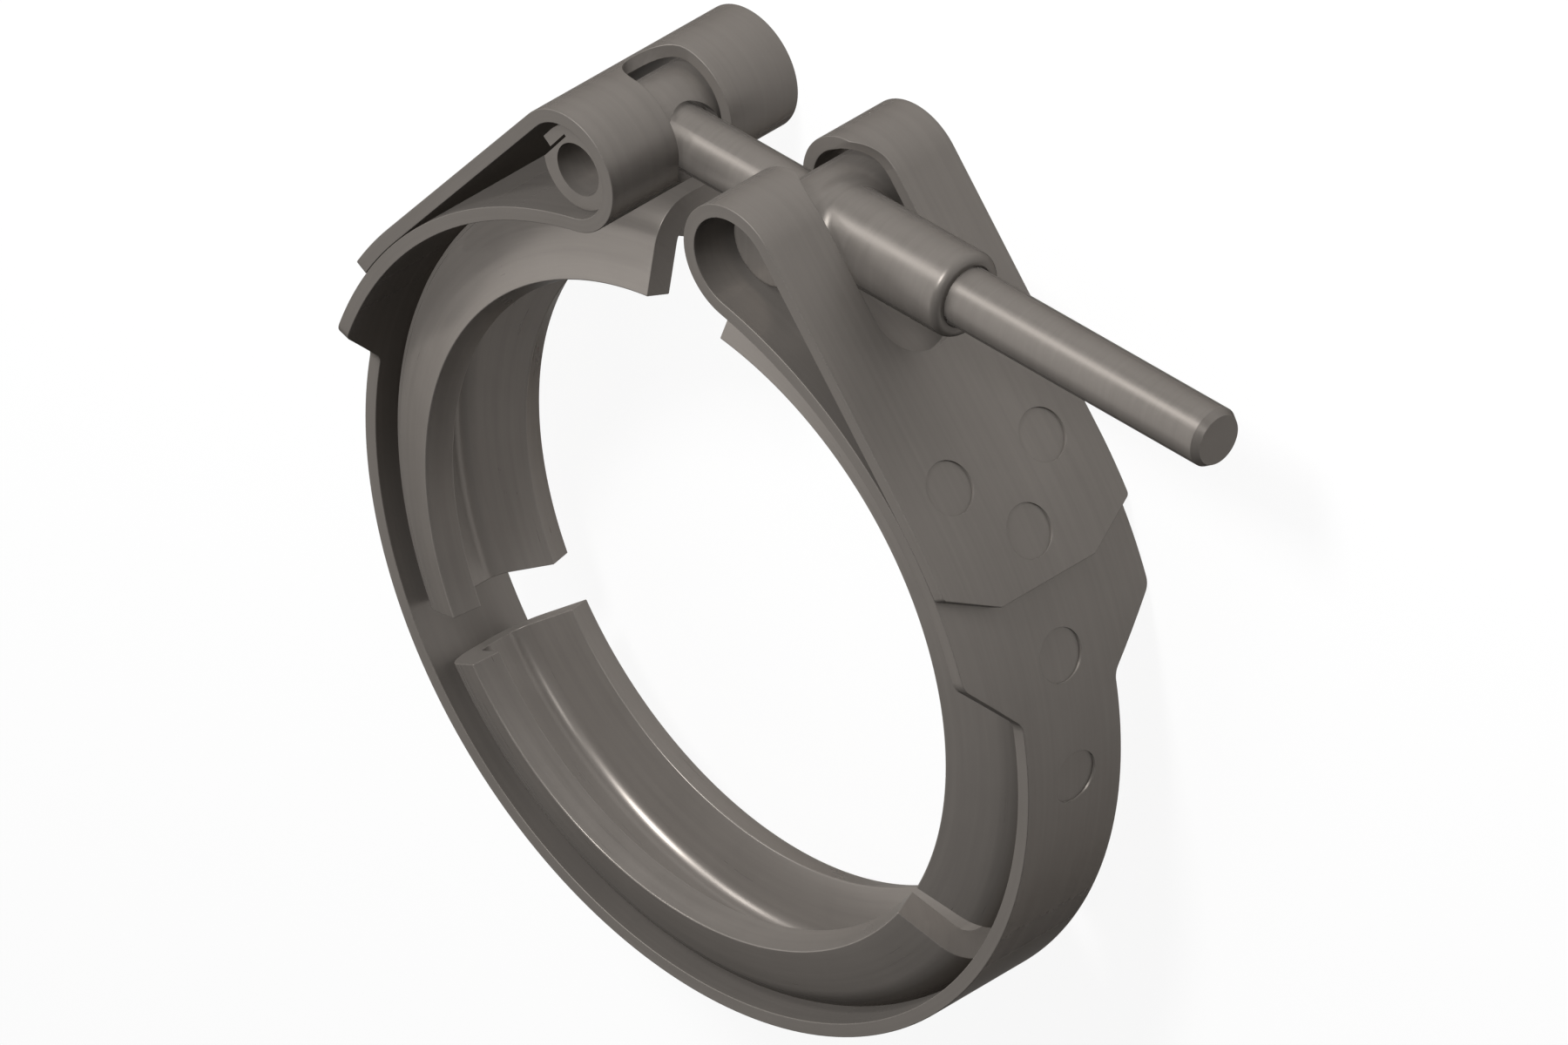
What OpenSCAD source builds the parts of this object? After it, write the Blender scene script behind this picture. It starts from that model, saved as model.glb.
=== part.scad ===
// V-band clamp for two flanged tube ends. A steel strip with a loop at each end carries three
// rolled V segments. A T-bolt, held in the left loop by a rolled sleeve, runs through a
// trunnion in the right loop and draws the two ends of the strip together.
// Sizes are in millimetres. The ring's axis is Z, and the bolt lies along X above the ring.

/* [Strip] */
// Inside radius of the strip
band_inner_r = 45; // [38:0.5:90]
// Thickness of the strip
band_t = 1.5; // [1:0.1:2]
// Width round the lower part of the ring
band_narrow_w = 13; // [10:0.5:18]
// Width at the loops and the doubled ends
band_wide_w = 25.8; // [22:0.2:34]
// Degrees above the horizontal where the narrow width ends
taper_low_angle = 11; // [8:0.5:13]
// Degrees above the horizontal where the full width starts
taper_high_angle = 19.4; // [17:0.2:22]
// Radius of the taper's corners
taper_corner_r = 2; // [0.5:0.1:3]
// Degrees above the horizontal of the doubled end's tip
tail_tip_angle = 27; // [25:0.5:29]
// Degrees above the horizontal of the doubled end's corners
tail_corner_angle = 31.2; // [30:0.2:34]

/* [Loops] */
// Inside radius of each loop
loop_inner_r = 5.2; // [5.1:0.05:6.5]
// Gap between the two loops
closure_gap = 9.8; // [6:0.1:14]
// Distance up the straight tail to the window's lower end
window_start = 14.7; // [13:0.1:16]
// Radial clearance of the trunnion's boss in the window
window_clearance = 0.63; // [0.2:0.01:1.5]
// Radial clearance of the bolt in the slot of each loop
slot_clearance = 0.48; // [0.3:0.02:0.8]
// Drop of the slots' round lower ends below the loops' centres
slot_drop = 0.85; // [0.3:0.05:1.2]
// Shift of the left slot's round back end towards the gap
slot_back_shift = 0.25; // [0:0.05:1]

/* [Spot welds] */
// Diameter of the dished weld marks
weld_d = 5.6; // [3:0.1:7]
// Depth of the weld marks
weld_depth = 0.25; // [0.1:0.05:0.5]
// Degrees above the horizontal of the upper mark on the single strip
weld_high_angle = 17; // [12:0.5:20]
// Degrees above the horizontal of the mark on the doubled end
weld_tail_angle = 33.4; // [32:0.2:37]
// Distance up the straight tail of the pair of marks
weld_pair_up = 2; // [0:0.1:5]
// Spacing across the strip of the pair of marks
weld_pair_w = 12.9; // [8:0.1:18]
// Degrees between the marks under the strip's lower middle
weld_low_step = 30; // [15:1:45]

/* [V segments] */
// Thickness of the rolled V section
v_t = 3.14; // [2:0.02:3.5]
// Angle between the two flanks
v_angle = 40; // [30:1:50]
// Distance between the sharp corners of the section's back
v_back_w = 9.84; // [9:0.02:12]
// Depth of the section, from its back to the inner corners of the lips
v_depth = 9.6; // [8:0.1:12]
// Inside bend radius of the section
v_bend_r = 2.15; // [0.5:0.05:2.5]
// Half of the lower segment's arc in degrees
v_low_half = 55; // [50:1:57]
// Degrees between the lower segment and each side segment
v_low_gap = 8; // [3:1:16]
// Degrees between the upper ends of the side segments
v_top_gap = 16; // [12:1:28]

/* [T-bolt] */
// Diameter of the bolt, a quarter-inch rod
bolt_d = 6.35; // [5.5:0.05:6.5]
// Length from the head's centre to the free end
bolt_len = 77; // [60:1:100]
// Length of the chamfer at the free end
bolt_chamfer_len = 0.8; // [0.3:0.1:2]
// Depth of the chamfer at the free end
bolt_chamfer = 0.5; // [0.2:0.1:1]
// Diameter of the cross head inside the sleeve
head_d = 5.28; // [4:0.02:5.5]
// Length of the cross head
head_len = 11.6; // [8:0.2:20]
// Drop of the bolt's axis below the loops' centres
bolt_drop = 0.2; // [0:0.05:0.3]
// Diameter of the thread relief at the trunnion's mouth
relief_d = 5.9; // [4.5:0.05:6]
// Length of the thread relief
relief_len = 1.5; // [0.5:0.1:3]

/* [Sleeve] */
// Wall of the rolled sleeve
sleeve_t = 1.48; // [1:0.02:1.6]
// Distance that each end of the sleeve stands back from the strip's edge
sleeve_inset = 1.3; // [0.5:0.1:4]
// Thickness of the sleeve's lapped end
lap_t = 1.23; // [1:0.01:1.3]
// Width of the slit under the lapped end
lap_slit = 0.3; // [0.15:0.05:0.4]
// Wall left between the bore and the slit
lap_wall = 0.38; // [0.2:0.02:0.5]
// Length of the lapped end past the sleeve's crown
lap_len = 1.7; // [0.5:0.1:2.1]
// Depth of the slit past the sleeve's crown
lap_slit_in = 1.4; // [0.5:0.1:1.8]
// Direction square to the lapped end in degrees
lap_angle = 141.5; // [130:0.5:150]
// Shift of the sleeve from the loop's centre towards the gap
sleeve_shift = 0.55; // [0.1:0.05:0.6]

/* [Trunnion] */
// Diameter of the crosspiece
cross_d = 8.66; // [8:0.02:9.1]
// Length of the crosspiece
cross_len = 16.5; // [14:0.1:22]
// Rounding of the crosspiece's end edges
cross_round = 0.3; // [0.1:0.05:0.8]
// Diameter of the boss
boss_d = 9.2; // [8.8:0.1:10.2]
// Length of the boss from the crosspiece's centre
boss_len = 20; // [14:0.5:26]
// Start of the boss's full form past the crosspiece's centre
boss_start = 1.3; // [0.5:0.1:2]
// Rounding of the boss's edges
boss_round = 0.95; // [0.3:0.05:1.1]
// Shift of the trunnion from the loop's centre towards the gap
trunnion_shift = 0.1; // [0:0.05:0.3]

/* [Clearances] */
// Radial clearance of the bolt in the trunnion
bolt_clearance = 0.08; // [0.02:0.01:0.1]
// Radial clearance of the cross head in the sleeve
head_clearance = 0.26; // [0.1:0.02:0.4]
// Radial clearance of the bolt in the sleeve's side hole
hole_clearance = 0.5; // [0.2:0.05:0.7]
// Gap between a V segment's back and the strip
weld_gap = 0.02; // [0.01:0.01:0.1]
// Gap between the ring and the doubled end that lies on it
fold_gap = 0.03; // [0.01:0.01:0.1]
// How much bending thins the strip on each of its four faces
bend_thinning = 0.01; // [0.005:0.005:0.05]

/* [Hidden] */
$fn = 96;

steel = "#8a857e";
// A cutter runs this far past the metal that it cuts.
past = 2;
// The rounding of a corner crosses the corner's two edges by this much, to meet them in clean
// points.
v_cross = 0.002;
taper_cross = 0.004;

// Ring and loops: a loop leaves the ring's end in a smooth curve, and the doubled end lies on
// the ring.
band_outer_r = band_inner_r + band_t;
tail_inner_r = band_outer_r + fold_gap;
tail_outer_r = tail_inner_r + band_t;
loop_outer_r = loop_inner_r + band_t;
loop_reach = band_outer_r + loop_inner_r;
loop_x = closure_gap / 2 + loop_outer_r;
loop_angle = acos(loop_x / loop_reach);
loop_y = loop_reach * sin(loop_angle);
// The straight tail lies square to this direction and touches both the loop and the ring.
tail_angle = loop_angle - acos((tail_outer_r - loop_outer_r) / loop_reach);
tail_len = loop_reach * sin(loop_angle - tail_angle);
tail_end_mid = (tail_tip_angle + tail_corner_angle) / 2;
window_end = tail_len + loop_outer_r;
// The window's cut stops half way between the tail and the ring under its lower end.
window_floor = (tail_inner_r + sqrt(pow(band_outer_r, 2) - pow(window_start, 2))) / 2;

// Taper, laid flat: along the strip from the taper's middle, and across it
taper_mid = (taper_low_angle + taper_high_angle) / 2;
taper_low = [band_outer_r * sin(taper_low_angle - taper_mid), band_narrow_w / 2];
taper_high = [band_outer_r * sin(taper_high_angle - taper_mid), band_wide_w / 2];
taper_slope = atan2(taper_high.y - taper_low.y, taper_high.x - taper_low.x);
taper_run = taper_corner_r * tan(taper_slope / 2);
taper_centre = taper_low + [-taper_run, taper_corner_r];
// The narrow part ends under the centre of the low corner's rounding.
narrow_end = taper_mid + asin(taper_centre.x / (band_inner_r + band_t / 2));

// V section
flank = v_angle / 2;
v_back_r = band_inner_r - weld_gap;
v_side_low = 90 - v_low_half - v_low_gap;
v_side_high = 90 - v_top_gap / 2;

// T-bolt, sleeve and trunnion
bolt_y = loop_y - bolt_drop;
head_r = head_d / 2;
sleeve_x = sleeve_shift - loop_x;
sleeve_bore_r = head_r + head_clearance;
sleeve_outer_r = sleeve_bore_r + sleeve_t;
sleeve_len = band_wide_w - 2 * sleeve_inset;
slit_floor = sleeve_bore_r + lap_wall;
lap_floor = slit_floor + lap_slit;
lap_outer = lap_floor + lap_t;
trunnion_x = loop_x - trunnion_shift;
boss_end = trunnion_x + boss_len - sleeve_x;
slot_w = bolt_d + 2 * slot_clearance;
window_w = boss_d + 2 * window_clearance;

// The flat shape between a corner and the circle that rounds it, run on past the corner. The
// corner's two edges leave it in the directions from and to, in degrees, and the circle may
// cross them.
module corner_piece(corner, from, to, r, cross = 0) {
    half = (to - from) / 2;
    run = r / tan(half);
    inward = [cos(from + half), sin(from + half)];
    centre = corner + r / sin(half) * inward;
    difference() {
        polygon([
            corner - run * inward,
            corner + run * [cos(from), sin(from)],
            centre,
            corner + run * [cos(to), sin(to)]
        ]);
        translate(centre) circle(r + cross);
    }
}

// A flat slot with a round lower end and, if asked for, a round upper end.
module slot(from, to, width, round_top = true) {
    translate([from + width / 2, 0]) circle(width / 2);
    top = round_top ? to - width / 2 : to;
    translate([from + width / 2, -width / 2]) square([top - from - width / 2, width]);
    if (round_top) translate([top, 0]) circle(width / 2);
}

// Strip rolled into a tube about Z, and drawn thinner on all four faces
module rolled(r_in, r_out, width, angle = 360, thinning = 0) {
    rotate_extrude(angle = angle)
        translate([r_in + thinning, thinning - width / 2])
            square([r_out - r_in - 2 * thinning, width - 2 * thinning]);
}

// Cuts a flat shape, drawn along and across the strip, straight through in the radial direction.
module radial_cut(angle, r_in, r_out) {
    rotate([0, 0, angle])
        translate([r_in, 0, 0])
            rotate([90, 0, 90])
                linear_extrude(r_out - r_in)
                    children();
}

// The same shape at both edges of the strip
module both_edges() {
    children();
    mirror([0, 1]) children();
}

// The taper from the narrow to the full width: the slope, its low corner and its high corner
// are cut one after the other.
module taper_cut() {
    // The slope's cut reaches back into the narrow part's.
    back = taper_centre - [taper_corner_r / 2, 0];
    top = taper_high.y + past;
    radial_cut(taper_mid, band_inner_r - past, band_outer_r + past)
        both_edges()
            polygon([
                back,
                taper_centre,
                taper_low + taper_run * [cos(taper_slope), sin(taper_slope)],
                taper_high,
                [taper_high.x, top],
                [back.x, top]
            ]);
    radial_cut(taper_mid, band_inner_r - past, band_outer_r + past)
        both_edges() translate(taper_centre) circle(taper_corner_r + taper_cross);
    radial_cut(taper_mid, band_inner_r - past, band_outer_r + past)
        both_edges()
            corner_piece(taper_high, 180 + taper_slope, 360, taper_corner_r, taper_cross);
}

// The doubled end's slanted corner, as the shape that is cut away beside it
module tail_end_shape() {
    low = [tail_outer_r * sin(tail_tip_angle - tail_end_mid), band_narrow_w / 2];
    high = [tail_outer_r * sin(tail_corner_angle - tail_end_mid), band_wide_w / 2];
    polygon([
        [low.x - past, low.y],
        low,
        high,
        [high.x, high.y + past],
        [low.x - past, high.y + past]
    ]);
}

// One end of the strip, drawn for the right side. Each stretch starts in the plane where the
// last one ends: the loop at the ring's end, then the straight tail, then the doubled end.
module strip_end() {
    loop_turn = tail_angle - loop_angle;
    corner = [loop_outer_r + past, loop_outer_r + past, band_wide_w + 2 * past];
    rotate([0, 0, loop_angle]) translate([loop_reach, 0, 0]) {
        difference() {
            rolled(loop_inner_r, loop_outer_r, band_wide_w, thinning = bend_thinning);
            translate([-corner.x, -corner.y, -corner.z / 2]) cube(corner);
            rotate([0, 0, loop_turn]) translate([0, -corner.y, -corner.z / 2]) cube(corner);
        }
        rotate([0, 0, loop_turn]) translate([0, -tail_len, 0]) {
            translate([loop_inner_r, 0, -band_wide_w / 2]) cube([band_t, tail_len, band_wide_w]);
            translate([loop_outer_r - tail_outer_r, 0, 0])
                difference() {
                    rolled(tail_inner_r, tail_outer_r, band_wide_w, tail_tip_angle - tail_angle,
                        bend_thinning);
                    radial_cut(tail_end_mid - tail_angle, band_outer_r - past, tail_outer_r + past)
                        both_edges() tail_end_shape();
                }
        }
    }
}

// The ring, open between the two planes where the loops start
module ring() {
    difference() {
        rolled(band_inner_r, band_outer_r, band_wide_w);
        for (side = [0, 1])
            mirror([side, 0, 0])
                rotate([0, 0, loop_angle])
                    translate([band_inner_r - past, 0, -band_wide_w])
                        cube([band_t + 2 * past, loop_x, 2 * band_wide_w]);
    }
}

module weld_mark(angle, r, up = 0, across = 0) {
    rotate([0, 0, angle])
        translate([r - weld_depth, up, across])
            rotate([0, 90, 0])
                cylinder(d = weld_d, h = past);
}

// The cuts of one side: its taper, its weld marks and the bolt's slot on the gap side
module strip_end_cuts() {
    taper_cut();
    weld_mark(0, band_outer_r);
    weld_mark(weld_high_angle, band_outer_r);
    weld_mark(weld_tail_angle, tail_outer_r);
    for (side = [-1, 1])
        weld_mark(tail_angle, tail_outer_r, weld_pair_up, side * weld_pair_w / 2);
    translate([loop_x - loop_outer_r - past, loop_y, 0])
        rotate([90, 0, 90])
            linear_extrude(loop_outer_r + past)
                slot(-slot_drop - slot_w / 2, loop_outer_r + past, slot_w, round_top = false);
}

// The lower part of the ring is narrowed at both edges, as far as the tapers.
module narrow_cuts() {
    edge_w = (band_wide_w - band_narrow_w) / 2 + past;
    for (side = [-1, 1])
        translate([0, 0, side * (band_narrow_w + edge_w) / 2])
            rotate([0, 0, 180 - narrow_end])
                rolled(band_inner_r - past, band_outer_r + past, edge_w, 180 + 2 * narrow_end);
}

// The trunnion's boss leaves the right loop through this window in its outer wall.
module window() {
    radial_cut(tail_angle, window_floor, tail_outer_r + past)
        slot(window_start, window_end, window_w);
    radial_cut(tail_angle, tail_outer_r - loop_outer_r, tail_outer_r + past)
        intersection() {
            slot(window_start, window_end, window_w);
            translate([tail_len, -window_w]) square(2 * window_w);
        }
}

// The bolt drops into the left loop through this slot over its crown.
module crown_slot() {
    translate([-loop_x, loop_y, 0])
        rotate([-90, 0, 0])
            linear_extrude(loop_outer_r + past)
                slot(slot_back_shift - slot_w / 2, loop_outer_r + past, slot_w, round_top = false);
}

module band() {
    color(steel)
        difference() {
            union() {
                ring();
                strip_end();
                mirror([1, 0, 0]) strip_end();
            }
            narrow_cuts();
            strip_end_cuts();
            mirror([1, 0, 0]) strip_end_cuts();
            for (step = [-1, 0, 1])
                weld_mark(270 + step * weld_low_step, band_outer_r);
            window();
            crown_slot();
        }
}

// A flat trapezium, open towards the ring's centre, with its back at a radius and its two back
// corners rounded. Its flanks run in past the radius lip_r.
module trapezium(back_r, back_half, lip_r, bend_r) {
    back = [back_r, back_half];
    lip = [lip_r, back_half + (back_r - lip_r) * tan(flank)];
    difference() {
        polygon([[lip.x, -lip.y], [back.x, -back.y], back, lip]);
        both_edges() corner_piece(back, 180 - flank, 270, bend_r, v_cross);
    }
}

// The V section, drawn as (radius, height): a trapezium with the groove taken out of it, and
// the lips cut square to the flanks
module v_section() {
    flank_len = (v_depth - v_t * sin(flank)) / cos(flank);
    lip = [v_back_r, v_back_w / 2] + flank_len * [-cos(flank), sin(flank)];
    difference() {
        trapezium(v_back_r, v_back_w / 2, v_back_r - v_depth - past, v_bend_r + v_t);
        trapezium(v_back_r - v_t, v_back_w / 2 - v_t * (1 - sin(flank)) / cos(flank),
            v_back_r - v_depth - 2 * past, v_bend_r);
        both_edges()
            translate(lip)
                rotate(-90 - flank)
                    translate([-past, -v_depth])
                        square([v_t + 2 * past, v_depth]);
    }
}

module v_segment(from, to) {
    color(steel)
        rotate([0, 0, from])
            rotate_extrude(angle = to - from)
                v_section();
}

module v_segment_left() {
    v_segment(180 - v_side_high, 180 + v_side_low);
}

module v_segment_bottom() {
    v_segment(270 - v_low_half, 270 + v_low_half);
}

module v_segment_right() {
    v_segment(-v_side_low, v_side_high);
}

// The rolled sleeve that holds the bolt's cross head. Its outside is a little out of centre, to
// meet the lapped end, which stands clear of the wall under it by the slit.
module bolt_barrel() {
    color(steel)
        translate([sleeve_x, bolt_y, 0])
            difference() {
                rotate([0, 0, lap_angle])
                    translate([0, 0, -sleeve_len / 2])
                        union() {
                            translate([(lap_outer - sleeve_outer_r) / 2, 0, 0])
                                cylinder(r = (lap_outer + sleeve_outer_r) / 2, h = sleeve_len);
                            translate([lap_floor, 0, 0])
                                cube([lap_t, lap_len, sleeve_len]);
                        }
                rotate([0, 0, lap_angle])
                    translate([slit_floor, 0, -sleeve_len / 2 - past]) {
                        translate([0, -lap_slit_in, 0])
                            cube([lap_slit, lap_slit_in + lap_len + past, sleeve_len + 2 * past]);
                        translate([0, lap_len, 0])
                            cube([lap_outer, lap_outer, sleeve_len + 2 * past]);
                    }
                cylinder(r = sleeve_bore_r, h = sleeve_len + past, center = true);
                translate([-hole_clearance, 0, 0])
                    rotate([0, 90, 0])
                        cylinder(d = bolt_d + 2 * hole_clearance, h = sleeve_outer_r + past);
            }
}

module t_bolt() {
    r = bolt_d / 2;
    color(steel)
        translate([sleeve_x, bolt_y, 0]) {
            rotate([0, 90, 0])
                rotate_extrude()
                    polygon([
                        [0, 0],
                        [r, 0],
                        [r, boss_end - relief_len],
                        [relief_d / 2, boss_end - relief_len],
                        [relief_d / 2, boss_end],
                        [r, boss_end],
                        [r, bolt_len - bolt_chamfer_len],
                        [r - bolt_chamfer, bolt_len],
                        [0, bolt_len]
                    ]);
            cylinder(r = head_r, h = head_len, center = true);
        }
}

// The trunnion: a crosspiece that turns in the right loop, and a boss that guides the bolt
module trunnion() {
    cross_corner = [cross_d / 2, cross_len / 2];
    boss_corner = [boss_d / 2, boss_len];
    color(steel)
        translate([trunnion_x, bolt_y, 0])
            difference() {
                union() {
                    rotate_extrude()
                        difference() {
                            translate([0, -cross_len / 2]) square([cross_d / 2, cross_len]);
                            both_edges() corner_piece(cross_corner, 180, 270, cross_round);
                        }
                    rotate([0, 90, 0])
                        rotate_extrude()
                            difference() {
                                translate([0, boss_start])
                                    square([boss_d / 2, boss_len - boss_start]);
                                corner_piece(boss_corner, 180, 270, boss_round);
                                corner_piece([boss_d / 2, boss_start], 90, 180, boss_round);
                            }
                }
                rotate([0, 90, 0])
                    cylinder(r = bolt_d / 2 + bolt_clearance, h = 2 * (boss_len + past),
                        center = true);
            }
}

band();
v_segment_left();
v_segment_bottom();
v_segment_right();
bolt_barrel();
t_bolt();
trunnion();
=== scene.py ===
from math import acos, asin, cos, pi, radians, sin, tan
import bpy
import numpy as np
from mathutils import Matrix, Vector
from mathutils.geometry import delaunay_2d_cdt


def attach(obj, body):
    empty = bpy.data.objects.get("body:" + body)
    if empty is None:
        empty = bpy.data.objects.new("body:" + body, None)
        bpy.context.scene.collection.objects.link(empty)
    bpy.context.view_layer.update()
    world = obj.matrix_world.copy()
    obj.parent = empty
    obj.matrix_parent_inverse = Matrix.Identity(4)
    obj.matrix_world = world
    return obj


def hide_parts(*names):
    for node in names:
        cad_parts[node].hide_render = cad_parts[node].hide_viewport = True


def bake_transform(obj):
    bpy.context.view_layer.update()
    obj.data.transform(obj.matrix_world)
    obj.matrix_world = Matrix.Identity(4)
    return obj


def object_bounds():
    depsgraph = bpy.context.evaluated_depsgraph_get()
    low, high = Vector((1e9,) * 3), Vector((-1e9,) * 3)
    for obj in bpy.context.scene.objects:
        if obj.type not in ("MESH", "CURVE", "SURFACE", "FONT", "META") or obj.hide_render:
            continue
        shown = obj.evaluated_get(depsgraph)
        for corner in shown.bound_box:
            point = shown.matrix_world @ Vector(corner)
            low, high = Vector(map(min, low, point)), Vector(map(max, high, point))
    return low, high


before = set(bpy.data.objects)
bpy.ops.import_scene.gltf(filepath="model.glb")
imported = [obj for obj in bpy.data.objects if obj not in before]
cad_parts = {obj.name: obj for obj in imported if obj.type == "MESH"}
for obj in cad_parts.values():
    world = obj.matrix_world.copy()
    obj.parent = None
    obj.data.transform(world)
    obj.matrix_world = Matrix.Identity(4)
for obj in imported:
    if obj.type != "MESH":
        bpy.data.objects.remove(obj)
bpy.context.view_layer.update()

# The strip. One length of stainless strip, pierced and narrowed while flat, rolled into the ring,
# curled into a loop at each end, then folded back and spot-welded to itself. It is laid out flat
# here too and bent along its path, in two closed halves that meet beside the ring's lowest point.
MM = 0.001
strip_t = 1.5
narrow_w, wide_w = 13.0, 25.8
taper_round, tip_round = 2.0, 0.6
ring_inside_r, loop_inside_r = 45.0, 5.2
ring_r = ring_inside_r + strip_t / 2
loop_r = loop_inside_r + strip_t / 2
closure_gap = 9.8
fold_gap = 0.03
loop_reach = ring_r + loop_r
loop_x = closure_gap / 2 + loop_r + strip_t / 2
loop_angle = acos(loop_x / loop_reach)
loop_y = loop_reach * sin(loop_angle)
fold_r = ring_r + strip_t + fold_gap
tail_angle = loop_angle - acos((fold_r - loop_r) / loop_reach)
tail_len = loop_reach * sin(loop_angle - tail_angle)

# Lengths along the strip, from the lowest point of the ring
loop_from = ring_r * (loop_angle + pi / 2)
tail_from = loop_from + loop_r * (loop_angle + pi - tail_angle)
fold_from = tail_from + tail_len


def along_ring(degrees):
    return ring_r * (pi / 2 + radians(degrees))


def along_loop(angle):
    return loop_from + loop_r * (loop_angle + pi - angle)


def along_fold(degrees):
    return fold_from + fold_r * (tail_angle - radians(degrees))


taper_low, taper_high = along_ring(11.0), along_ring(19.4)
tip_corner, tip = along_fold(31.2), along_fold(27.0)
seam = 10.0

# How far apart the mesh's points lie: in general, along the loops and along the doubled ends
spacing, loop_spacing, fold_spacing = 1.3, 0.42, 1.0


def on_path(s, n):
    """The point n outside the strip's middle and s along it, with its two directions there."""
    if tail_from < s <= fold_from:
        out = -Vector((cos(tail_angle), sin(tail_angle)))
        way = Vector((-out.y, out.x))
        start = Vector((loop_x, loop_y)) - loop_r * out
        return start + (s - tail_from) * way + n * out, way, out
    centre = Vector((0, 0))
    if s > fold_from:
        radius, angle, turn = fold_r, tail_angle - (s - fold_from) / fold_r, -1
    elif s > loop_from:
        centre = Vector((loop_x, loop_y))
        radius, angle, turn = loop_r, loop_angle + pi - (s - loop_from) / loop_r, -1
    else:
        radius, angle, turn = ring_r, s / ring_r - pi / 2, 1
    out = turn * Vector((cos(angle), sin(angle)))
    way = turn * Vector((-sin(angle), cos(angle)))
    return centre + (turn * radius + n) * out, way, out


def stations(start, end, step):
    count = round((end - start) / step)
    return [start + (end - start) * i / count for i in range(count)]


def walk(a, b, rows, least=0.15):
    """Points from a up to b, at the rows that the edge crosses, or at even steps straight across.

    A row that passes closer than least to an end is left out, so that no face gets too narrow.
    """
    along = abs(b.x - a.x)
    if along < least:
        count = max(1, round((b - a).length / spacing))
        shares = [i / count for i in range(count)]
    else:
        margin = least / along
        crossed = sorted((row - a.x) / (b.x - a.x) for row in rows)
        shares = [0.0] + [share for share in crossed if margin < share < 1 - margin]
    return [a.lerp(b, share) for share in shares]


def rounded(corners, rows=(), arc_steps=8):
    """An outline through corners, each given by its place and the radius that rounds it."""
    places = [Vector(corner[:2]) for corner in corners]
    arcs = [[places[0]]]
    for before, here, after, corner in zip(places, places[1:], places[2:], corners[1:]):
        radius = corner[2]
        if not radius:
            arcs.append([here])
            continue
        back, onward = (before - here).normalized(), (after - here).normalized()
        half = back.angle(onward) / 2
        centre = here + (back + onward).normalized() * radius / sin(half)
        first = here + back * radius / tan(half) - centre
        last = here + onward * radius / tan(half) - centre
        step = -first.angle_signed(last) / arc_steps
        arcs.append([centre + Matrix.Rotation(step * i, 2) @ first for i in range(arc_steps + 1)])
    arcs.append([places[-1]])
    line = []
    for arc, onward in zip(arcs, arcs[1:]):
        line += arc[:-1] + walk(arc[-1], onward[0], rows)
    return line + [places[-1]]


# The slot that is pierced over each loop, and the round window for the boss that the right one
# opens into. Their outlines are cut straight through the loops, so they change with the depth n.
slot_r = 3.655
slot_drop = 0.85
slot_back_shift = 0.25
slot_turns = [radians(12 * i - 90) for i in range(16)]
side_steps = 24
window_r = 5.23
window_from_fold = 14.7
window_low = fold_from - window_from_fold - window_r
window_high = loop_r + strip_t / 2 - window_r


def slot_low_end(n):
    """The slot's round lower end, on the gap's side of a loop."""
    drops = [(slot_drop + slot_r * cos(turn)) / (loop_r - n) for turn in slot_turns]
    return [
        Vector((along_loop(pi + asin(drop)), slot_r * sin(turn)))
        for drop, turn in zip(drops, slot_turns)
    ]


def joined(runs):
    """One closed outline from round ends, with as many points at every depth of the strip."""
    line = []
    for run, onward in zip(runs, runs[1:] + runs[:1]):
        line += run[:-1] + [run[-1].lerp(onward[0], i / side_steps) for i in range(side_steps)]
    return line


def left_hole(n):
    """The slot over the left loop, which lets the bolt drop in."""
    reach = [(slot_r * cos(turn) - slot_back_shift) / (loop_r - n) for turn in slot_turns]
    far = [Vector((along_loop(acos(x)), -slot_r * sin(turn))) for x, turn in zip(reach, slot_turns)]
    return joined([slot_low_end(n), far])


def right_hole(n):
    """The slot over the right loop, which opens into the window for the boss."""
    turns = [acos(slot_r / window_r) * (1 - i / 10) for i in range(11)]
    rise = [min(1.0, (window_high + window_r * sin(turn)) / (loop_r - n)) for turn in turns]
    widening = [
        Vector((along_loop(tail_angle + asin(h)), window_r * cos(turn))) for h, turn in zip(rise, turns)
    ]
    turns = [radians(90 - 10 * i) for i in range(19)]
    lower = [Vector((window_low + window_r * cos(turn), window_r * sin(turn))) for turn in turns]
    narrowing = [Vector((point.x, -point.y)) for point in reversed(widening)]
    return joined([slot_low_end(n), widening, lower, narrowing])


def sides(line, closed):
    """An outline's points, the way out of the metal at each, and how far a corner stretches it."""
    points = np.array([tuple(point) for point in line])
    ahead = np.roll(points, -1, 0) - points
    ahead /= np.linalg.norm(ahead, axis=1)[:, None]
    behind = np.roll(ahead, 1, 0)
    if not closed:
        ahead[-1], behind[0] = behind[-1], ahead[0]
    right = np.stack([ahead[:, 1] + behind[:, 1], -ahead[:, 0] - behind[:, 0]], 1)
    length = np.linalg.norm(right, axis=1)
    return points, right / length[:, None], 2 / length


def inside(points, outline):
    """Which points lie inside a closed outline."""
    x, y = points[:, :1], points[:, 1:]
    a, b = np.array(outline), np.roll(np.array(outline), -1, 0)
    spans = (a[:, 1] > y) != (b[:, 1] > y)
    rise = np.where(a[:, 1] == b[:, 1], 1.0, b[:, 1] - a[:, 1])
    return (spans & (x < a[:, 0] + (y - a[:, 1]) * (b[:, 0] - a[:, 0]) / rise)).sum(1) % 2 == 1


def on_metal(points, outlines):
    """Which points lie inside the first outline and in none of the others."""
    return inside(points, outlines[0]) & ~np.any([inside(points, hole) for hole in outlines[1:]], 0)


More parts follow.
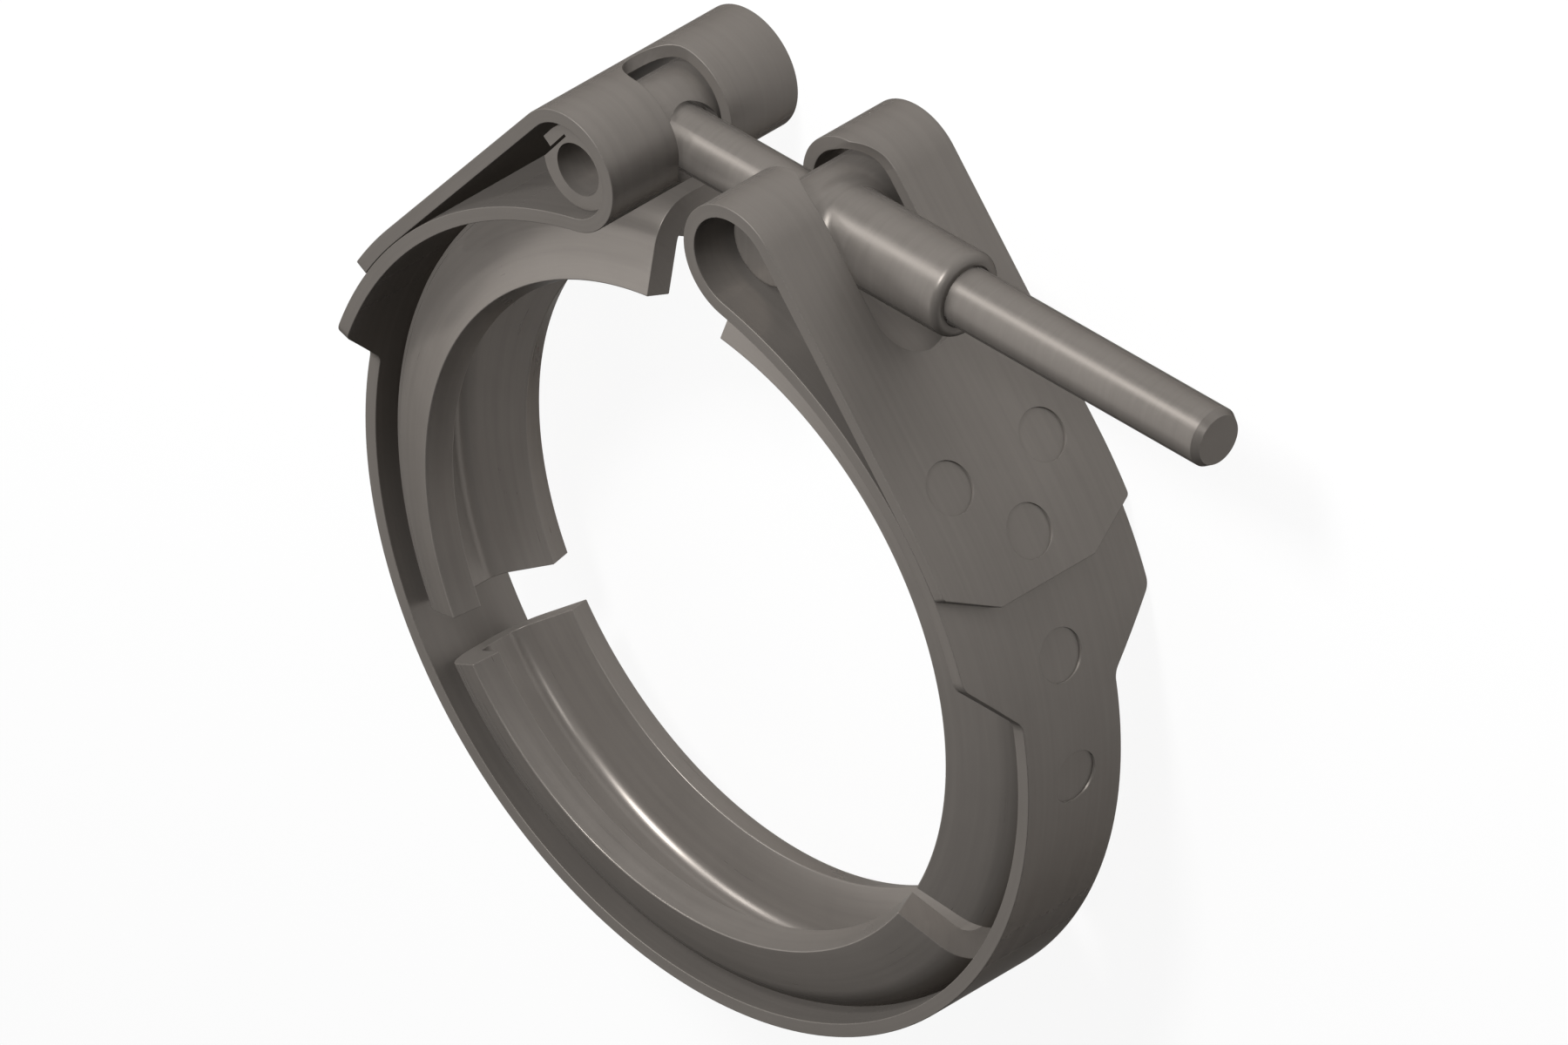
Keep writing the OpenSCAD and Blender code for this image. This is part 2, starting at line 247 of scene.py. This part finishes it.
# A cut edge from one face of the strip to the other: the height of each row of points, how far
# it lies back from the outline where the edge is rounded, and how far its surface tilts over
edge_r = 0.1
edge_turns = [radians(30 * i) for i in range(4)]
levels = [(strip_t / 2 - edge_r * (1 - cos(a)), edge_r * (1 - sin(a)), a) for a in edge_turns]
levels += [(-n, inset, pi - a) for n, inset, a in reversed(levels)]

# A pressed weld mark from its rim to its floor: how far each ring of points lies outside the
# mark's radius, its share of the depth, and the tilt of its surface in degrees
mark_r, mark_depth = 2.8, 0.25
mark_profile = [
    (0.02, 0.0, 0),
    (0.01, 0.01, 45),
    (0.0, 0.05, 85),
    (-0.01, 0.96, 85),
    (-0.02, 0.99, 45),
    (-0.03, 1.0, 0),
]
ring_marks = [(along_ring(degrees), 0.0, ring_r) for degrees in (17, 0, -60)]
lowest_mark = (0.0, 0.0, ring_r)
pair_from_fold, pair_half_w = 2.0, 6.45
flat_r = 1e6
tail_marks = [
    (along_fold(33.4), 0.0, fold_r),
    (fold_from - pair_from_fold, pair_half_w, flat_r),
    (fold_from - pair_from_fold, -pair_half_w, flat_r),
]


class Sheet:
    """Points of a bent strip, each kept flat as along, across and out, with its normal."""

    def __init__(self):
        self.places, self.normals, self.edges, self.faces = [], [], [], []

    def add(self, points, n, normals, edge):
        first = len(self.places)
        heights = np.broadcast_to(n, len(points))
        self.places += [(float(x), float(y), float(z)) for (x, y), z in zip(points, heights)]
        self.normals += [tuple(float(part) for part in normal) for normal in normals]
        self.edges += [edge] * len(points)
        return list(range(first, first + len(points)))

    def lay(self, points, face, depth=0.0):
        """Points on one face of the strip, or so deep below it, that look straight out."""
        return self.add(points, face * (strip_t / 2 - depth), [(0, 0, face)] * len(points), False)

    def bridge(self, one, other, closed):
        """Quads between two rows of points, with the metal's outside on the left of each row."""
        for i in range(len(one) - (not closed)):
            j = (i + 1) % len(one)
            self.faces.append((one[i], other[i], other[j], one[j]))

    def cut(self, line_at, closed):
        """The cut edge along an outline, given for each height, as one row of points per level."""
        rings = []
        for n, inset, tilt in levels:
            points, away, stretch = sides(line_at(n), closed)
            normals = np.column_stack([away * sin(tilt), np.full(len(away), cos(tilt))])
            place = points - away * (stretch * inset)[:, None]
            rings.append(self.add(place, n, normals, 0 < tilt < pi))
        for upper, lower in zip(rings, rings[1:]):
            self.bridge(upper, lower, closed)
        return rings

    def press(self, s, u, bend_r, face):
        """A round weld mark with a level floor, pressed into one face where it bends at bend_r."""
        turns = np.radians(np.arange(0, -360, -7.5))
        circle = np.column_stack([np.cos(turns), np.sin(turns)])
        rings = []
        for wider, share, tilt in mark_profile:
            step = (mark_r + wider) * circle
            depth = mark_depth - step[:, 0] ** 2 / (2 * bend_r)
            lean = radians(tilt)
            slope = np.column_stack([-circle * sin(lean), np.full(len(turns), face * cos(lean))])
            slope[:, 0] -= share * step[:, 0] / bend_r
            rings.append(self.add(step + (s, u), face * (strip_t / 2 - share * depth), slope, False))
        rings.append(self.lay([(s, u)], face, mark_depth) * len(turns))
        for pair in zip(rings, rings[1:]):
            self.bridge(*pair[::face], True)
        return rings[0]

    def cover(self, cuts, rows, face):
        """The faces of one side of the strip, between its outline and what is cut or pressed."""
        flat = np.array(self.places)[:, :2]
        outlines = [flat[cut] for cut in cuts]
        reach = int(wide_w / 2 / spacing)
        across = np.arange(-reach, reach + 1) * spacing
        grid = np.array([(s, u) for s in rows[1:] for u in across])
        rims = np.concatenate(outlines)
        gaps = np.array([np.hypot(*(rims - point).T).min() for point in grid])
        clear = 0.3
        grid = grid[on_metal(grid, outlines) & (gaps > clear)]
        used = sum(cuts, []) + self.lay(grid, face)
        index_of = {vertex: index for index, vertex in enumerate(used)}
        borders = [(index_of[a], index_of[b]) for cut in cuts for a, b in zip(cut, cut[1:] + cut[:1])]
        # A slight unevenness keeps points in a straight row from making faces of no area
        uneven, uneven_turn = 0.0002, 2.4
        flat = np.array(self.places)[:, :2]
        flat += uneven * np.sin(uneven_turn * np.arange(len(flat)))[:, None]
        made = delaunay_2d_cdt([Vector(flat[v]) for v in used], borders, [], 0, 1e-6)
        known = [used[origin[0]] for origin in made[3]]
        triangles = np.array([[known[v] for v in triangle] for triangle in made[2]])
        triangles = triangles[on_metal(flat[triangles].mean(1), [flat[cut] for cut in cuts])]
        a, b, c = (flat[triangles[:, i]] for i in range(3))
        area = (b[:, 0] - a[:, 0]) * (c[:, 1] - a[:, 1]) - (b[:, 1] - a[:, 1]) * (c[:, 0] - a[:, 0])
        for triangle, signed in zip(triangles, area):
            self.faces.append(tuple(triangle if signed * face > 0 else triangle[::-1]))


def solid(name, places, faces, normals, flat=None, edges=None):
    """A piece from its points and faces, shaded by the true normals of its surfaces."""
    mesh = bpy.data.meshes.new(name)
    mesh.from_pydata(places, [], [tuple(int(v) for v in dict.fromkeys(face)) for face in faces])
    mesh.polygons.foreach_set("use_smooth", [True] * len(mesh.polygons))
    if flat is not None:
        laid_flat = mesh.attributes.new("flat", "FLOAT_VECTOR", "POINT")
        laid_flat.data.foreach_set("vector", np.array(flat).ravel())
        cut_edge = mesh.attributes.new("edge", "FLOAT", "POINT")
        cut_edge.data.foreach_set("value", np.array(edges, float))
    mesh.normals_split_custom_set_from_vertices([tuple(normal) for normal in normals])
    piece = bpy.data.objects.new(name, mesh)
    bpy.context.scene.collection.objects.link(piece)
    return piece


def strip_half(name, start, hole, outer_marks, side):
    """Half of the strip, from its end beside the lowest point to the tip of its doubled end."""
    rows = stations(start, loop_from, spacing) + stations(loop_from, tail_from, loop_spacing)
    rows += stations(tail_from, fold_from, spacing) + stations(fold_from, tip, fold_spacing)
    half = [
        (start, narrow_w / 2, 0),
        (taper_low, narrow_w / 2, taper_round),
        (taper_high, wide_w / 2, taper_round),
        (tip_corner, wide_w / 2, tip_round),
        (tip, narrow_w / 2, tip_round),
    ]
    outline = rounded([(s, -u, r) for s, u, r in half] + half[::-1], rows)
    sheet = Sheet()
    border = sheet.cut(lambda n: outline, False)
    window = sheet.cut(hole, True)

    # Both faces, then the end underneath. The doubled end is turned over by the loop, so its marks
    # lie on the other face than the ring's
    ends = {}
    across = walk(Vector((start, narrow_w / 2)), Vector((start, -narrow_w / 2)), rows)[1:]
    for face, level, marks in ((1, 0, outer_marks), (-1, -1, tail_marks)):
        rims = [sheet.press(*mark, face) for mark in marks]
        ends[face] = sheet.lay([tuple(point) for point in across], face)
        sheet.cover([border[level] + ends[face], window[level], *rims], rows, face)
    low_corner, high_corner = [row[0] for row in border], [row[-1] for row in border]
    sheet.faces.append(ends[1][::-1] + high_corner + ends[-1] + low_corner[::-1])

    places, normals = [], []
    for (s, u, n), (along, sideways, out) in zip(sheet.places, sheet.normals):
        point, way, outward = on_path(s, n)
        normal = along * way + out * outward
        places.append((side * point.x * MM, point.y * MM, u * MM))
        normals.append(Vector((side * normal.x, normal.y, sideways)).normalized())
    faces = sheet.faces if side > 0 else [face[::-1] for face in sheet.faces]
    return solid(name, places, faces, normals, np.array(sheet.places) * (1, side, 1), sheet.edges)


class Value:
    """A socket of a material, so that sums on masks and coordinates read as sums."""

    def __init__(self, shader, socket):
        self.shader = shader
        self.socket = socket

    def math(self, operation, *values):
        return self.shader.node("ShaderNodeMath", {"operation": operation}, values)

    def __add__(self, other):
        return self.math("ADD", self, other)

    def __radd__(self, other):
        return self.math("ADD", other, self)

    def __mul__(self, other):
        return self.math("MULTIPLY", self, other)

    def __rmul__(self, other):
        return self.math("MULTIPLY", other, self)

    def __sub__(self, other):
        return self.math("SUBTRACT", self, other)

    def __rsub__(self, other):
        return self.math("SUBTRACT", other, self)


class Shader:
    """One material's node tree, with one method that adds any node to it."""

    def __init__(self, name):
        self.material = bpy.data.materials.new(name)
        self.material.use_nodes = True
        self.tree = self.material.node_tree
        self.tree.nodes.clear()

    def node(self, kind, settings=None, values=(), output=0):
        made = self.tree.nodes.new(kind)
        for key, setting in (settings or {}).items():
            setattr(made, key, setting)
        pairs = values.items() if isinstance(values, dict) else enumerate(values)
        for key, value in pairs:
            if isinstance(value, Value):
                self.tree.links.new(value.socket, made.inputs[key])
            else:
                made.inputs[key].default_value = value
        return Value(self, made.outputs[output]) if made.outputs else None


# Satin stainless steel. It stays dark at glancing angles, where a white floor would show on it
STEEL = (0.149, 0.136, 0.124)
STEEL_METALLIC = 0.45
STEEL_GLANCING = (0.15, 0.145, 0.14, 1.0)
TONE_SPREAD = 0.14
GRAIN_DEPTH = 0.004 * MM
CLOUD_SCALE = (0.11, 0.11, 0.11)


def steel(name, laid_flat, grain, painted_light_gain=1.0, roughness=0.38):
    """Satin stainless steel, its faint grain given as lines per millimetre along three axes.

    The axes are those of the flat strip or section for a piece laid flat, or else the piece's own.
    """
    shader = Shader(name)
    if laid_flat:
        place = shader.node("ShaderNodeAttribute", {"attribute_name": "flat"}, output="Vector")
        unit = 1.0
    else:
        place = shader.node("ShaderNodeTexCoord", output="Object")
        unit = 1 / MM

    def noise(scale, detail, fine_share):
        size = tuple(part * unit for part in scale)
        sized = shader.node("ShaderNodeVectorMath", {"operation": "MULTIPLY"}, [place, size])
        values = {"Vector": sized, "Scale": 1.0, "Detail": detail, "Roughness": fine_share}
        return shader.node("ShaderNodeTexNoise", {}, values) - 0.5

    lines = noise(grain, 3.0, 0.6)
    cloud = noise(CLOUD_SCALE, 4.0, 0.55)
    tone = 0.5 + 0.5 * cloud + 0.8 * lines
    # A gain above one lightens the base colour: painted light, standing in for the light that shaded
    # insides miss
    dark, light = (
        (*(part * painted_light_gain * level for part in STEEL), 1.0) for level in (1 - TONE_SPREAD, 1 + TONE_SPREAD)
    )
    # Sockets 6 and 7 of a colour mix are its two colours
    colour = shader.node("ShaderNodeMix", {"data_type": "RGBA"}, {0: tone, 6: dark, 7: light}, output=2)
    rough = roughness + 0.08 * cloud + 0.12 * lines
    if laid_flat:
        cut_edge = shader.node("ShaderNodeAttribute", {"attribute_name": "edge"}, output="Fac")
        rough = rough + 0.12 * cut_edge
    bump = shader.node("ShaderNodeBump", {}, {"Strength": 0.5, "Distance": GRAIN_DEPTH, "Height": lines})
    surface = shader.node(
        "ShaderNodeBsdfPrincipled",
        {},
        {
            "Base Color": colour,
            "Metallic": STEEL_METALLIC,
            "Roughness": rough,
            "Specular IOR Level": 0.0,
            "Specular Tint": STEEL_GLANCING,
            "Normal": bump,
        },
    )
    shader.node("ShaderNodeOutputMaterial", {}, {"Surface": surface})
    return shader.material


rolled_steel = steel("rolled_strip_steel", True, (0.03, 1.5, 1.5))
strip_left = strip_half("strip_left", seam, left_hole, ring_marks, -1)
strip_right = strip_half("strip_right", -seam, right_hole, [*ring_marks, lowest_mark], 1)

# The gaps beside the lower V segment, where the real clamp opens by bending the strip
gap_low, gap_high = -35.0, -27.0
for piece, side, arm in ((strip_left, -1, "left_arm"), (strip_right, 1, "right_arm")):
    piece.data.materials.append(rolled_steel)
    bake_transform(piece)
    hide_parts("band")

# The V segments. Three lengths of one rolled stainless V section, bent to the ring's inside and
# spot-welded to the strip. Their flanks wedge two tube flanges together as the strip tightens.
v_back_r = ring_inside_r - 0.02
v_t = 3.14
v_flank = radians(20)
v_depth = 9.6
v_back_half = 4.92
v_bend_r = 2.15
lip_round = 0.15
flank_len = (v_depth - v_t * sin(v_flank)) / cos(v_flank)
v_lip = (v_back_r - flank_len * cos(v_flank), v_back_half + flank_len * sin(v_flank))
v_inner_lip = (v_lip[0] - v_t * sin(v_flank), v_lip[1] - v_t * cos(v_flank))
v_inner_half = v_back_half - v_t * (1 - sin(v_flank)) / cos(v_flank)
v_half = [
    (v_back_r, v_back_half, v_bend_r + v_t),
    (*v_lip, lip_round),
    (*v_inner_lip, lip_round),
    (v_back_r - v_t, v_inner_half, v_bend_r),
]
v_profile = rounded(
    [(v_back_r, 0, 0), *v_half, *((r, -z, bend) for r, z, bend in v_half[::-1]), (v_back_r, 0, 0)]
)[:-1]


def v_segment(name, start, end, row_degrees=1.2):
    """A length of the V section, bent round the ring's centre, with rounded cut ends."""
    points, away, stretch = (part.tolist() for part in sides(v_profile, True))
    rounds = [(edge_r * (1 - cos(a)) / v_back_r, edge_r * (1 - sin(a)), a) for a in edge_turns]
    middle = np.radians(np.linspace(start, end, round((end - start) / row_degrees)))[1:-1].tolist()
    rows = [(radians(start) + turn, inset, -cos(a), sin(a)) for turn, inset, a in rounds]
    rows += [(angle, 0.0, 0.0, 1.0) for angle in middle]
    rows += [(radians(end) - turn, inset, cos(a), sin(a)) for turn, inset, a in rounds[::-1]]
    lengths = np.concatenate([[0], np.cumsum(np.linalg.norm(np.diff(points, axis=0), axis=1))])
    places, normals, flat, edges = [], [], [], []
    for angle, inset, forward, outward in rows:
        radial, tangent = Vector((cos(angle), sin(angle), 0)), Vector((-sin(angle), cos(angle), 0))
        for (r, z), (nr, nz), fit, length in zip(points, away, stretch, lengths):
            r, z = r - nr * fit * inset, z - nz * fit * inset
            places.append(tuple((radial * r + Vector((0, 0, z))) * MM))
            normals.append(forward * tangent + outward * (nr * radial + Vector((0, 0, nz))))
            flat.append((angle * v_back_r, length, 0))
            edges.append(inset > 0)
    count = len(points)
    faces = []
    for here in range(0, (len(rows) - 1) * count, count):
        for i in range(count):
            j = (i + 1) % count
            faces.append((here + i, here + count + i, here + count + j, here + j))
    faces.append(tuple(range(count)))
    faces.append(tuple(range(len(rows) * count - 1, (len(rows) - 1) * count - 1, -1)))
    return solid(name, places, faces, normals, flat, edges)


# Painted light: the V section's base colour is 1.2 times lighter, standing in for the light its shaded
# grooves miss. Its lower roughness is its smoother rolled finish.
segment_steel = steel("rolled_section_steel", True, (0.03, 1.3, 1.3), painted_light_gain=1.2, roughness=0.3)
segment_top = 82.0
for name, body, start, end in (
    ("v_segment_left", "left_arm", 180.0 - segment_top, 180.0 - gap_high),
    ("v_segment_bottom", "lower", 180.0 - gap_low, 360.0 + gap_low),
    ("v_segment_right", "right_arm", gap_high, segment_top),
):
    piece = v_segment(name + "_rolled", start, end)
    piece.data.materials.append(segment_steel)
    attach(piece, body)
    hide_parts(name)

# The sleeve. A short tube curled from strip, with its end lapped over itself, that sits in the
# left loop and holds the bolt's cross head through a hole in its side.
sleeve_steel = steel("sleeve_steel", False, (0.3, 0.3, 1.8))
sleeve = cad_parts["bolt_barrel"]
sleeve.data.materials.clear()
sleeve.data.materials.append(sleeve_steel)

# The T-bolt. A turned quarter-inch rod with a cross head, chamfered at its free end, which runs
# through both loops and is drawn up against the trunnion.
turned_steel = steel("turned_rod_steel", False, (2.2, 0.15, 0.15))
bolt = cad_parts["t_bolt"]
bolt.data.materials.clear()
bolt.data.materials.append(turned_steel)

# The trunnion. A turned crosspiece that rocks in the right loop, with a boss that runs out of it
# round the bolt, both cut from one piece of bar with a small fillet where they meet.
bolt_drop, trunnion_shift = 0.2, 0.1
trunnion_at = Vector((loop_x - trunnion_shift, loop_y - bolt_drop, 0))
cross_r, cross_half, cross_round = 4.33, 8.25, 0.3
boss_r, boss_start, boss_end, boss_round = 4.6, 1.3, 20.0, 0.95
bolt_r, bolt_clearance = 3.175, 0.08
bore_r = bolt_r + bolt_clearance
fillet_r = 1.1
mouth_round = 0.15


def bar(radius, height, r, half, edge):
    """How far a point is outside a round bar with rounded end edges."""
    across, up = radius - r + edge, np.abs(height) - half + edge
    beyond = np.hypot(np.maximum(across, 0), np.maximum(up, 0))
    return beyond + np.minimum(np.maximum(across, up), 0) - edge


def trunnion_gap(x, y, z):
    """How far a point, measured from the trunnion's centre, is outside its metal."""
    cross = bar(np.hypot(x, y), z, cross_r, cross_half, cross_round)
    boss_middle, boss_half = (boss_start + boss_end) / 2, (boss_end - boss_start) / 2
    boss = bar(np.hypot(y, z), x - boss_middle, boss_r, boss_half, boss_round)
    body = np.maximum(fillet_r, np.minimum(cross, boss)) - np.hypot(
        np.maximum(fillet_r - cross, 0), np.maximum(fillet_r - boss, 0)
    )
    bore = bore_r - np.hypot(y, z)
    return np.minimum(-mouth_round, np.maximum(body, bore)) + np.hypot(
        np.maximum(mouth_round + body, 0), np.maximum(mouth_round + bore, 0)
    )


def skin(gap, low, high, step):
    """The surface where gap is nought, as points with normals and four-sided faces.

    Each edge of a lattice that the surface crosses gives a face between the four cells round it.
    Each crossed cell gives a point, the mean of its crossings, which is then moved to the surface.
    """
    axes = [np.arange(a, b, step) for a, b in zip(low, high)]
    values = gap(*np.meshgrid(*axes, indexing="ij"))
    total, count = np.zeros((*values.shape, 3)), np.zeros(values.shape)
    crossings = []
    for axis in range(3):
        near = np.moveaxis(values, axis, 0)[:-1]
        far = np.moveaxis(values, axis, 0)[1:]
        spots = np.argwhere((near < 0) != (far < 0))
        share = near[tuple(spots.T)] / (near - far)[tuple(spots.T)]
        order = [0, 1, 2]
        order.remove(axis)
        cells = np.zeros_like(spots)
        cells[:, axis], cells[:, order[0]], cells[:, order[1]] = spots[:, 0], spots[:, 1], spots[:, 2]
        points = cells.astype(float)
        points[:, axis] += share
        inward = near[tuple(spots.T)] < 0
        corners = []
        for da, db in ((0, 0), (1, 0), (1, 1), (0, 1)):
            cell = cells.copy()
            cell[:, order[0]] -= da
            cell[:, order[1]] -= db
            np.add.at(total, tuple(cell.T), points)
            np.add.at(count, tuple(cell.T), 1)
            corners.append(cell)
        crossings.append((corners, inward if axis == 1 else ~inward))
    filled = count > 0
    number = np.cumsum(filled.ravel()).reshape(filled.shape) - 1
    places = total[filled] / count[filled][:, None] * step + low
    faces = []
    for corners, flip in crossings:
        quads = np.stack([number[tuple(cell.T)] for cell in corners], 1)
        quads[flip] = quads[flip][:, ::-1]
        faces += quads.tolist()
    probe = 0.001
    for _ in range(5):
        slope = np.stack([gap(*(places + d).T) - gap(*(places - d).T) for d in np.eye(3) * probe], 1)
        slope /= 2 * probe
        places = places - gap(*places.T)[:, None] * slope / (slope**2).sum(1)[:, None]
    return places, faces, slope / np.linalg.norm(slope, axis=1)[:, None]


lattice_low, lattice_high, lattice_step = np.array((-5.05, -5.25, -8.85)), (20.8, 5.4, 9.0), 0.21
places, faces, normals = skin(trunnion_gap, lattice_low, lattice_high, lattice_step)
places = [tuple((Vector(place) + trunnion_at) * MM) for place in places]
trunnion = solid("trunnion_turned", places, faces, normals)
trunnion.data.materials.append(steel("turned_trunnion_steel", False, (2.0, 0.15, 0.15)))
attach(trunnion, "trunnion")
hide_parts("trunnion")

# The camera, at the photograph's angle: the same slant to all three axes, from far off through a
# long lens.
look_at = Vector((0.54, 4.92, -5.46)) * MM
frame_width = 0.15529
back = Vector((1, 1, 1)).normalized()
up = Vector((-1, 2, -1)).normalized()
right = up.cross(back)
camera = bpy.data.objects.new("camera", bpy.data.cameras.new("camera"))
camera.data.sensor_width = 36.0
camera.data.lens = 1000.0
camera.data.clip_end = 20.0
distance = camera.data.lens / camera.data.sensor_width * frame_width
turn = Matrix((right, up, back)).transposed().to_4x4()
camera.matrix_world = Matrix.Translation(look_at + back * distance) @ turn
bpy.context.scene.collection.objects.link(camera)
bpy.context.scene.camera = camera

# The floor, a plain white sheet that the clamp lies on. It glows where the camera or a reflection
# sees it, and so looks white there without throwing more light on the clamp.
floor_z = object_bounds()[0].z
floor_half = 3
mesh = bpy.data.meshes.new("floor")
corners = [(x * floor_half, y * floor_half, floor_z) for x, y in ((-1, -1), (1, -1), (1, 1), (-1, 1))]
mesh.from_pydata(corners, [], [(0, 1, 2, 3)])
floor = bpy.data.objects.new("floor", mesh)
bpy.context.scene.collection.objects.link(floor)
white = Shader("floor_white")
matt = white.node("ShaderNodeBsdfDiffuse", {}, {"Color": (0.8, 0.8, 0.8, 1.0)})
bright = white.node("ShaderNodeEmission", {}, {"Color": (1, 1, 1, 1), "Strength": 1.0})
seen = white.node("ShaderNodeLightPath", output="Is Camera Ray")
mirrored = white.node("ShaderNodeLightPath", output="Is Glossy Ray")
refracted = white.node("ShaderNodeLightPath", output="Is Transmission Ray")
glow = 0.7 * (seen + mirrored + refracted)
surface = white.node("ShaderNodeMixShader", {}, {0: glow, 1: matt, 2: bright})
white.node("ShaderNodeOutputMaterial", {}, {"Surface": surface})
floor.data.materials.append(white.material)


# The lamps, all square soft boxes in a dim white room. The key casts the one faint shadow. The
# fill at its place and the four round the clamp cast none, which keeps the insides open.
def soft_box(name, direction, distance, size, power, shadow=False):
    lamp = bpy.data.lights.new(name, "AREA")
    lamp.use_shadow = shadow
    lamp.size = size
    lamp.energy = power
    thing = bpy.data.objects.new(name, lamp)
    way = Vector(direction).normalized()
    thing.location = way * distance
    thing.rotation_mode = "QUATERNION"
    thing.rotation_quaternion = way.to_track_quat("Z", "Y")
    bpy.context.scene.collection.objects.link(thing)


from_key = (-0.05, 0.79, 0.61)
soft_box("key", from_key, 1.0, 0.2, 3.0, shadow=True)
soft_box("fill", from_key, 1.0, 0.2, 7.5)
soft_box("front", (0.55, 0.65, 0.5), 1.0, 0.15, 1.0)
soft_box("rim", (-0.5, 0.7, 0.5), 1.0, 0.25, 3.0)
soft_box("back", (-0.7, -0.05, 0.7), 1.0, 1.0, 4.4)
soft_box("low", (-0.6, -0.6, 0.5), 1.2, 1.0, 1.0)
world = bpy.data.worlds.new("room")
bpy.context.scene.world = world
world.use_nodes = True
room = world.node_tree.nodes["Background"].inputs
room["Color"].default_value = (1, 1, 1, 1)
room["Strength"].default_value = 0.15
bpy.context.scene.view_settings.view_transform = "Standard"
